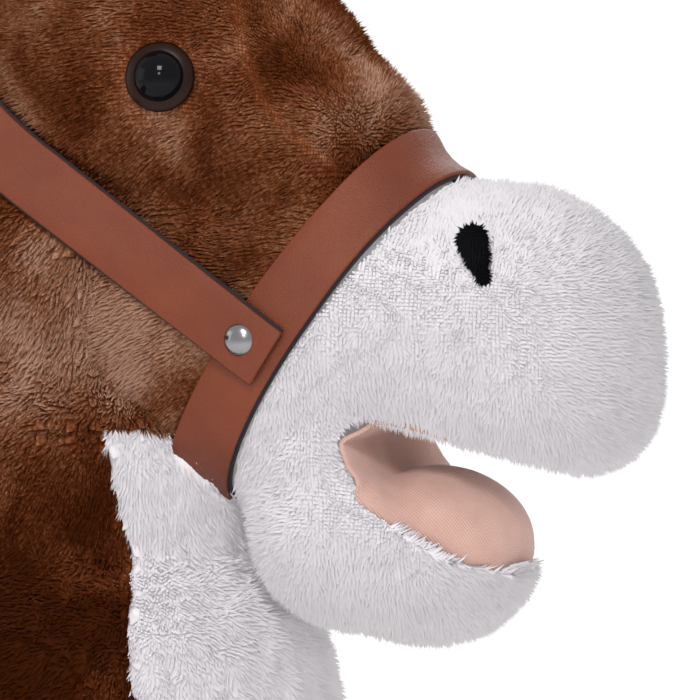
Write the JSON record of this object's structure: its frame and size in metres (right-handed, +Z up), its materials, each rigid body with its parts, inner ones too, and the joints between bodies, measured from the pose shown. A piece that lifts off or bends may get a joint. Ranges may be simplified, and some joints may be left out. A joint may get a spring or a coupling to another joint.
{
  "type": "rocking horse",
  "caption": "Plush ride-on rocking horse with an open moving mouth, tan bridle and saddle, on wooden bow rockers.",
  "frame": {"origin": "on the ground, midway between the rockers' tips and midway across the horse", "axes": "+X to the horse's front, +Y to its left side, +Z up"},
  "size_m": [0.74, 0.298, 0.6522],
  "materials": {
    "pine": "satin varnish",
    "brown_plush": "plush pile",
    "white_plush": "plush pile",
    "dark_hair": "plush pile",
    "pink_lining": "brushed knit",
    "tan_leather": "satin grained",
    "black_felt": "felt",
    "eye_black": "gloss",
    "eye_brown": "gloss",
    "bright_metal": "polished",
    "plastic": "matte"
  },
  "bodies": {
    "horse": {"left_rocker": "pine", "right_rocker": "pine", "front_crossbar": "pine", "rear_crossbar": "pine", "left_front_leg_post": "pine", "right_front_leg_post": "pine", "left_rear_leg_post": "pine", "right_rear_leg_post": "pine", "spine_board": "pine", "neck_post": "pine", "handle_bar": "pine", "head": "brown_plush", "neck": "brown_plush", "body": "brown_plush", "left_front_leg": "brown_plush", "right_front_leg": "brown_plush", "left_rear_leg": "brown_plush", "right_rear_leg": "brown_plush", "left_ear": "brown_plush", "right_ear": "brown_plush", "muzzle": "white_plush", "chest_blaze": "white_plush", "left_front_hoof": "dark_hair", "right_front_hoof": "dark_hair", "left_rear_hoof": "dark_hair", "right_rear_hoof": "dark_hair", "mane": "dark_hair", "forelock": "dark_hair", "mouth_roof_lining": "pink_lining", "noseband": "tan_leather", "crown_strap": "tan_leather", "saddle": "tan_leather", "girth": "tan_leather", "left_nostril": "black_felt", "right_nostril": "black_felt", "saddle_cloth": "black_felt", "left_eye": "eye_black", "right_eye": "eye_black", "left_eye_ring": "eye_brown", "right_eye_ring": "eye_brown", "jaw_pin": "bright_metal", "left_rivet": "bright_metal", "right_rivet": "bright_metal", "left_stirrup_stud": "bright_metal", "right_stirrup_stud": "bright_metal", "jaw_motor_case": "plastic", "battery_case": "plastic", "battery_door": "plastic", "left_handle_grip": "plastic", "right_handle_grip": "plastic"},
    "jaw": {"lower_jaw": "white_plush", "jaw_lining": "pink_lining", "jaw_plate": "plastic"},
    "tail": {"tail": "dark_hair", "tail_shaft": "bright_metal"},
    "sound_button": {"ear_button": "plastic"},
    "right_stirrup_leather": {"right_stirrup_strap": "tan_leather", "right_stirrup": "plastic"},
    "left_stirrup_leather": {"left_stirrup_strap": "tan_leather", "left_stirrup": "plastic"}
  },
  "joints": [
    {"name": "mouth", "type": "hinge", "parent": "horse", "child": "jaw", "pos_m": [0.243, 0, 0.424], "axis": [0, -1, 0], "range_deg": [0, 14]},
    {"name": "tail_wag", "type": "hinge", "parent": "horse", "child": "tail", "pos_m": [-0.228, 0, 0.352], "axis": [1, 0, 0], "range_deg": [-18, 18]},
    {"name": "sound_button_press", "type": "slide", "parent": "horse", "child": "sound_button", "axis": [-1, 0, 0], "range_m": [0, 0.003], "stiffness_N_per_m": 200},
    {"name": "right_stirrup_swing", "type": "hinge", "parent": "horse", "child": "right_stirrup_leather", "pos_m": [-0.01, -0.09, 0.318], "axis": [0, 1, 0], "range_deg": [-22, 22]},
    {"name": "left_stirrup_swing", "type": "hinge", "parent": "horse", "child": "left_stirrup_leather", "pos_m": [-0.01, 0.09, 0.318], "axis": [0, 1, 0], "range_deg": [-22, 22]}
  ]
}
